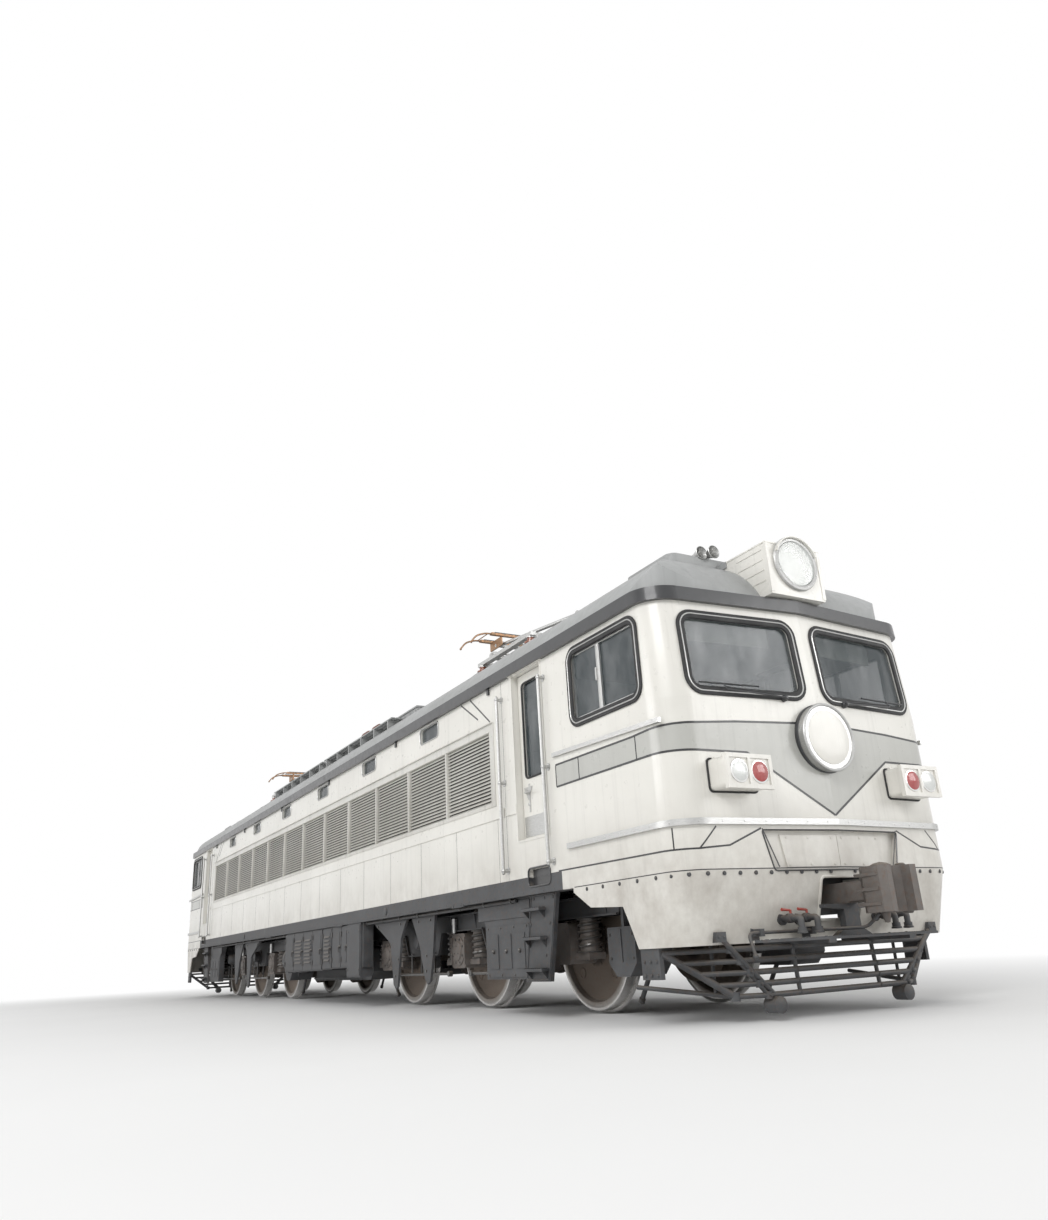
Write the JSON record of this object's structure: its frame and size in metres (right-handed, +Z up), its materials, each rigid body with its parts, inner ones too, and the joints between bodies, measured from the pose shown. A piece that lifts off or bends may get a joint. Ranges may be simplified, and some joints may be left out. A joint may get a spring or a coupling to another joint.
{
  "type": "electric locomotive",
  "caption": "Electric locomotive with two cabs, long louvred sides, bogies that swivel, turning wheelsets, inward doors and single-arm pantographs.",
  "frame": {"origin": "centre of the vehicle, on the plane under the wheel flanges", "axes": "+X towards the front cab, +Y to the vehicle's left, +Z up"},
  "size_m": [21.6, 3.2618, 4.7077],
  "materials": {
    "body_paint": "gloss enamel, pale",
    "roof_paint": "satin enamel, pale grey",
    "trim_dark": "satin black",
    "frame_paint": "satin dark grey",
    "louvre_paint": "satin enamel",
    "glass": "clear, slightly tinted",
    "lens_glass": "clear ribbed lens",
    "lamp_paint": "gloss enamel",
    "seal_rubber": "matt",
    "bright_steel": "brushed",
    "cast_steel": "rough cast, oily",
    "wheel_steel": "forged, worn tread",
    "insulator_glaze": "glazed",
    "cab_lining": "satin",
    "desk_paint": "satin",
    "seat_cover": "matt",
    "copper": "dull"
  },
  "bodies": {
    "body": {"air_reservoirs": "frame_paint", "aprons": "body_paint", "cab_bulkheads": "cab_lining", "cab_floors": "cab_lining", "cab_glass": "glass", "cab_seats": "seat_cover", "cab_shell_front": "body_paint", "cab_shell_rear": "body_paint", "couplers": "cast_steel", "door_handrails": "bright_steel", "door_ladders": "frame_paint", "driver_desks": "desk_paint", "equipment_boxes": "frame_paint", "gutter": "trim_dark", "headlamp_lenses": "lens_glass", "headlamps": "lamp_paint", "louvre_panels": "louvre_paint", "marker_lamps": "lamp_paint", "nose_discs": "bright_steel", "nose_mouldings": "bright_steel", "pantograph_bases": "bright_steel", "rail_guards": "frame_paint", "roof_busbar": "copper", "roof_end_front": "roof_paint", "roof_end_rear": "roof_paint", "roof_gear": "roof_paint", "roof_insulators": "insulator_glaze", "roof_middle": "roof_paint", "side_wall_left": "body_paint", "side_wall_right": "body_paint", "transformer": "frame_paint", "underframe": "frame_paint", "upper_windows": "glass", "window_seals": "seal_rubber"},
    "bogie_front": {"bogie_frame_front": "frame_paint", "axle_boxes_front": "cast_steel", "traction_motors_front": "cast_steel", "brake_gear_front": "frame_paint", "sand_boxes_front": "frame_paint"},
    "bogie_rear": {"bogie_frame_rear": "frame_paint", "axle_boxes_rear": "cast_steel", "traction_motors_rear": "cast_steel", "brake_gear_rear": "frame_paint", "sand_boxes_rear": "frame_paint"},
    "wheels_1": {"wheelset_1": "wheel_steel"},
    "wheels_2": {"wheelset_2": "wheel_steel"},
    "wheels_3": {"wheelset_3": "wheel_steel"},
    "wheels_4": {"wheelset_4": "wheel_steel"},
    "wheels_5": {"wheelset_5": "wheel_steel"},
    "wheels_6": {"wheelset_6": "wheel_steel"},
    "door_front_left": {"door_front_left": "body_paint"},
    "door_front_right": {"door_front_right": "body_paint"},
    "panto_lower_arm_front": {"pantograph_lower_arm_front": "bright_steel"},
    "panto_upper_arm_front": {"pantograph_upper_arm_front": "bright_steel"},
    "panto_collector_head_front": {"pantograph_collector_head_front": "copper"},
    "door_rear_left": {"door_rear_left": "body_paint"},
    "door_rear_right": {"door_rear_right": "body_paint"},
    "panto_lower_arm_rear": {"pantograph_lower_arm_rear": "bright_steel"},
    "panto_upper_arm_rear": {"pantograph_upper_arm_rear": "bright_steel"},
    "panto_collector_head_rear": {"pantograph_collector_head_rear": "copper"}
  },
  "joints": [
    {"name": "bogie_front_swivel", "type": "hinge", "parent": "body", "child": "bogie_front", "pos_m": [5.35, 0, 1.05], "axis": [0, 0, 1], "range_deg": [-3, 3]},
    {"name": "bogie_rear_swivel", "type": "hinge", "parent": "body", "child": "bogie_rear", "pos_m": [-5.35, 0, 1.05], "axis": [0, 0, 1], "range_deg": [-3, 3]},
    {"name": "wheels_1_turn", "type": "hinge", "parent": "bogie_front", "child": "wheels_1", "pos_m": [7.65, 0, 0.653], "axis": [0, 1, 0], "continuous": true},
    {"name": "wheels_2_turn", "type": "hinge", "parent": "bogie_front", "child": "wheels_2", "pos_m": [5.35, 0, 0.653], "axis": [0, 1, 0], "continuous": true},
    {"name": "wheels_3_turn", "type": "hinge", "parent": "bogie_front", "child": "wheels_3", "pos_m": [3.05, 0, 0.653], "axis": [0, 1, 0], "continuous": true},
    {"name": "wheels_4_turn", "type": "hinge", "parent": "bogie_rear", "child": "wheels_4", "pos_m": [-3.05, 0, 0.653], "axis": [0, 1, 0], "continuous": true},
    {"name": "wheels_5_turn", "type": "hinge", "parent": "bogie_rear", "child": "wheels_5", "pos_m": [-5.35, 0, 0.653], "axis": [0, 1, 0], "continuous": true},
    {"name": "wheels_6_turn", "type": "hinge", "parent": "bogie_rear", "child": "wheels_6", "pos_m": [-7.65, 0, 0.653], "axis": [0, 1, 0], "continuous": true},
    {"name": "door_front_left_swing", "type": "hinge", "parent": "body", "child": "door_front_left", "pos_m": [8.172, 1.4187, 2.48], "axis": [0, 0, 1], "range_deg": [0, 90]},
    {"name": "door_front_right_swing", "type": "hinge", "parent": "body", "child": "door_front_right", "pos_m": [8.172, -1.4187, 2.48], "axis": [0, 0, -1], "range_deg": [0, 90]},
    {"name": "door_rear_left_swing", "type": "hinge", "parent": "body", "child": "door_rear_left", "pos_m": [-8.172, 1.4187, 2.48], "axis": [0, 0, -1], "range_deg": [0, 90]},
    {"name": "door_rear_right_swing", "type": "hinge", "parent": "body", "child": "door_rear_right", "pos_m": [-8.172, -1.4187, 2.48], "axis": [0, 0, 1], "range_deg": [0, 90]},
    {"name": "pantograph_front_raise", "type": "hinge", "parent": "body", "child": "panto_lower_arm_front", "pos_m": [5.1, 0, 4.42], "axis": [0, -1, 0], "range_deg": [0, 46]},
    {"name": "pantograph_front_knee", "type": "hinge", "parent": "panto_lower_arm_front", "child": "panto_upper_arm_front", "pos_m": [6.79767, 0, 4.50897], "axis": [0, -1, 0], "range_deg": [-92, 0]},
    {"name": "pantograph_front_head", "type": "hinge", "parent": "panto_upper_arm_front", "child": "panto_collector_head_front", "pos_m": [5.1, 0, 4.59794], "axis": [0, -1, 0], "range_deg": [0, 46]},
    {"name": "pantograph_rear_raise", "type": "hinge", "parent": "body", "child": "panto_lower_arm_rear", "pos_m": [-5.1, 0, 4.42], "axis": [0, 1, 0], "range_deg": [0, 46]},
    {"name": "pantograph_rear_knee", "type": "hinge", "parent": "panto_lower_arm_rear", "child": "panto_upper_arm_rear", "pos_m": [-6.79767, 0, 4.50897], "axis": [0, 1, 0], "range_deg": [-92, 0]},
    {"name": "pantograph_rear_head", "type": "hinge", "parent": "panto_upper_arm_rear", "child": "panto_collector_head_rear", "pos_m": [-5.1, 0, 4.59794], "axis": [0, 1, 0], "range_deg": [0, 46]}
  ],
  "couplings": [
    {"joint": "pantograph_front_knee", "follows": "pantograph_front_raise", "ratio": -2},
    {"joint": "pantograph_front_head", "follows": "pantograph_front_raise", "ratio": 1},
    {"joint": "pantograph_rear_knee", "follows": "pantograph_rear_raise", "ratio": -2},
    {"joint": "pantograph_rear_head", "follows": "pantograph_rear_raise", "ratio": 1}
  ]
}
